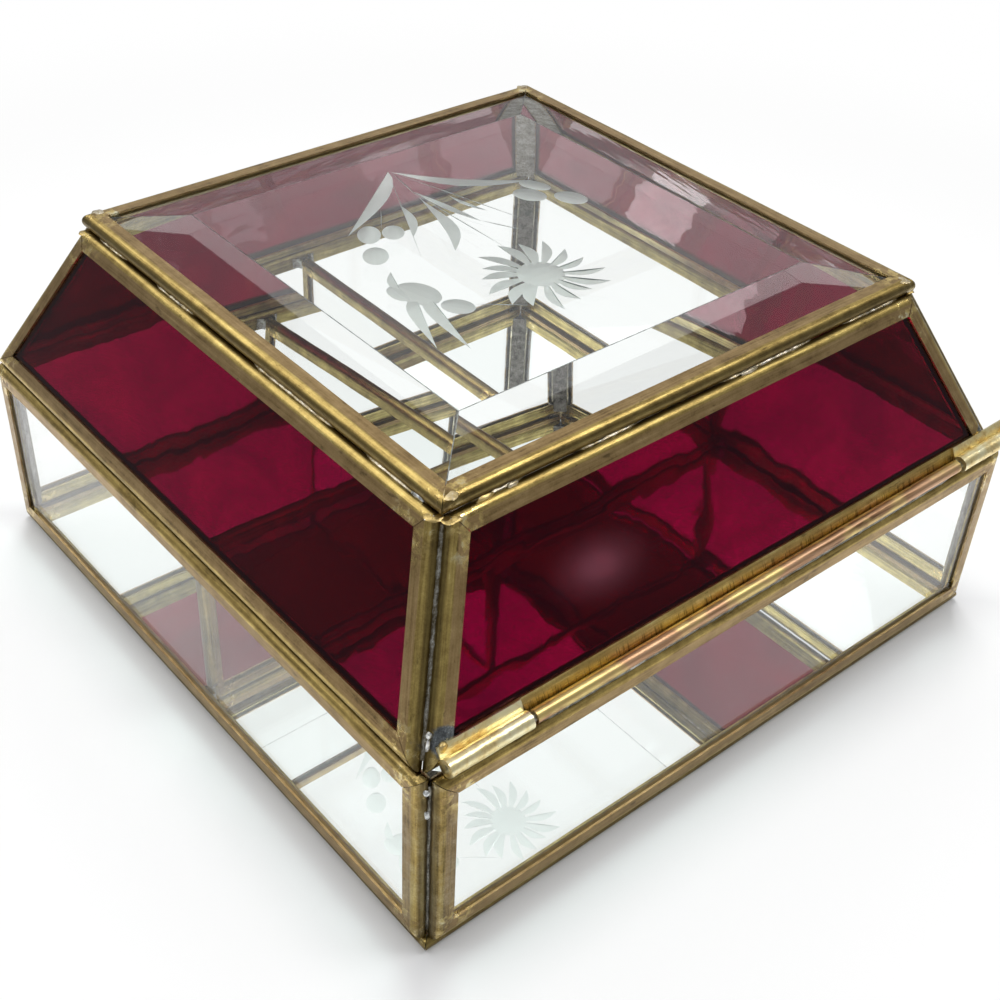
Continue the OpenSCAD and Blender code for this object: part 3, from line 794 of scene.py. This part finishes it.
def dressKnuckle(name):
    solid, = solidsOf(name)
    axis = longAxis(solid)
    soften(solid, knuckle["edge"], 3)
    cutAcross(solid, axis, knuckle["step"])
    solid.normal_update()
    for corner in solid.verts:
        lump = lumpAt(corner.co, knuckle["size"])
        corner.co += corner.normal * min(0.0, lump - knuckle["whole"]) * knuckle["sink"]
    dress(name, camel(name), [solid], "barrel")


for name in ("left_knuckle", "right_knuckle"):
    dressKnuckle(name)
print("hinge dressed")

sky = {"colour": (0.95, 0.965, 0.98), "level": 0.35}
# shaded is the floor colour close to the box, darker than plain: painted shade
paper = {"size": 6.0, "shaded": (0.82, 0.825, 0.84), "plain": (0.99, 0.99, 0.99), "roughness": 0.9,
         "underBox": (70, 97), "room": (150, 350),  # in millimetres from the middle, where each fades
         "white": 0.85, "farWhite": 0.15}


def addFloor():
    half = paper["size"] / 2
    mesh = bpy.data.meshes.new("floor")
    corners = [(-half, -half, 0), (half, -half, 0), (half, half, 0), (-half, half, 0)]
    mesh.from_pydata(corners, [], [(0, 1, 2, 3)])
    floor = bpy.data.objects.new("floor", mesh)
    bpy.context.scene.collection.objects.link(floor)
    made, f = newFinish("paper")
    where = f.place()
    away = f.add("VectorMath", {"operation": "LENGTH"}, {0: where}, out="Value")
    x, y, _ = f.parts(f.add("VectorMath", {"operation": "ABSOLUTE"}, {0: where}))
    past = f.add("Math", {"operation": "MAXIMUM"}, {0: x, 1: y})
    near, far = f.step(past, *paper["underBox"]), f.step(away, *paper["room"])
    # close to the box the floor is painted darker: painted shade around the box's real shadow
    colour = f.mix(near, paper["shaded"], paper["plain"])
    matt = f.surface({"Base Color": colour, "Roughness": paper["roughness"]})
    white = f.add("Emission", {}, {"Color": (1, 1, 1), "Strength": 1.0})
    dim = f.add("Emission", {}, {"Color": sky["colour"], "Strength": sky["level"]})
    lit = f.add("MixShader", {}, {0: far, 1: matt, 2: dim})  # far off it is as bright as the sky
    straight, through = f.sight()
    share = (near * paper["white"] + far * paper["farWhite"]) * straight + through
    f.end(f.add("MixShader", {}, {0: share, 1: lit, 2: white}))
    mesh.materials.append(made)


def addSky():
    world = bpy.data.worlds.new("studio")
    world.use_nodes = True
    f = Recipe(world.node_tree)
    light = f.add("Background", {}, {"Color": sky["colour"], "Strength": sky["level"]})
    white = f.add("Background", {}, {"Color": (1, 1, 1), "Strength": 1.0})
    straight, through = f.sight()
    f.end(f.add("MixShader", {}, {0: straight + through > 0.5, 1: light, 2: white}), "OutputWorld")
    bpy.context.scene.world = world


lampAim = (0, 0, 0.03)
lamps = {  # places and sizes in metres, power in watts
    "key": {"place": (0.6, -1.0, 1.6), "size": 1.6, "power": 16},
    "back": {"place": (-0.8, -0.9, 1.4), "size": 0.8, "power": 18, "mirrored": False},
    "panel": {"place": (-1.05, -1.15, 1.35), "size": 1.9, "power": 5, "through": False},
    "side": {"place": (-0.97, 0.63, 1.76), "size": 0.5, "power": 10, "through": False},
}
window = {"place": (-0.524, 0.892, 0.08), "aim": (0.03, 0.066, 0.058), "sizes": (0.034, 0.05, 0.066, 0.082),
          "oval": 0.6, "power": 0.0056}


def addLamp(name, place, size, power, aim=lampAim, mirrored=True, through=True, oval=0):
    lamp = bpy.data.lights.new(name, "AREA")
    lamp.shape = "ELLIPSE" if oval else "SQUARE"
    lamp.size, lamp.size_y, lamp.energy = size, size * oval, power
    holder = bpy.data.objects.new(name, lamp)
    bpy.context.scene.collection.objects.link(holder)
    holder.location = place
    holder.rotation_euler = (Vector(aim) - Vector(place)).to_track_quat("-Z", "Y").to_euler()
    holder.visible_glossy, holder.visible_transmission = mirrored, mirrored and through


view = {"lens": 53.155, "film": 36, "nearest": 0.01, "roll": 3.08,
        "eye": (0.16907, 0.19297, 0.21710), "aim": (0.01801, 0.02423, 0.04)}


def addCamera():
    lens = bpy.data.cameras.new("camera")
    lens.lens, lens.sensor_width, lens.clip_start = view["lens"], view["film"], view["nearest"]
    camera = bpy.data.objects.new("camera", lens)
    bpy.context.scene.collection.objects.link(camera)
    eye, aim = Vector(view["eye"]), Vector(view["aim"])
    turn = (aim - eye).to_track_quat("-Z", "Y").to_matrix().to_4x4()
    camera.matrix_world = Matrix.Translation(eye) @ turn @ Matrix.Rotation(math.radians(view["roll"]), 4, "Z")
    bpy.context.scene.camera = camera


addFloor()
for name, lamp in lamps.items():
    addLamp(name, **lamp)
for i, size in enumerate(window["sizes"]):  # one in another, so that the glint fades outwards
    addLamp("window" + str(i), window["place"], size, window["power"], window["aim"], oval=window["oval"])
addCamera()
addSky()
bpy.context.scene.view_settings.view_transform = "Standard"
print("studio set")
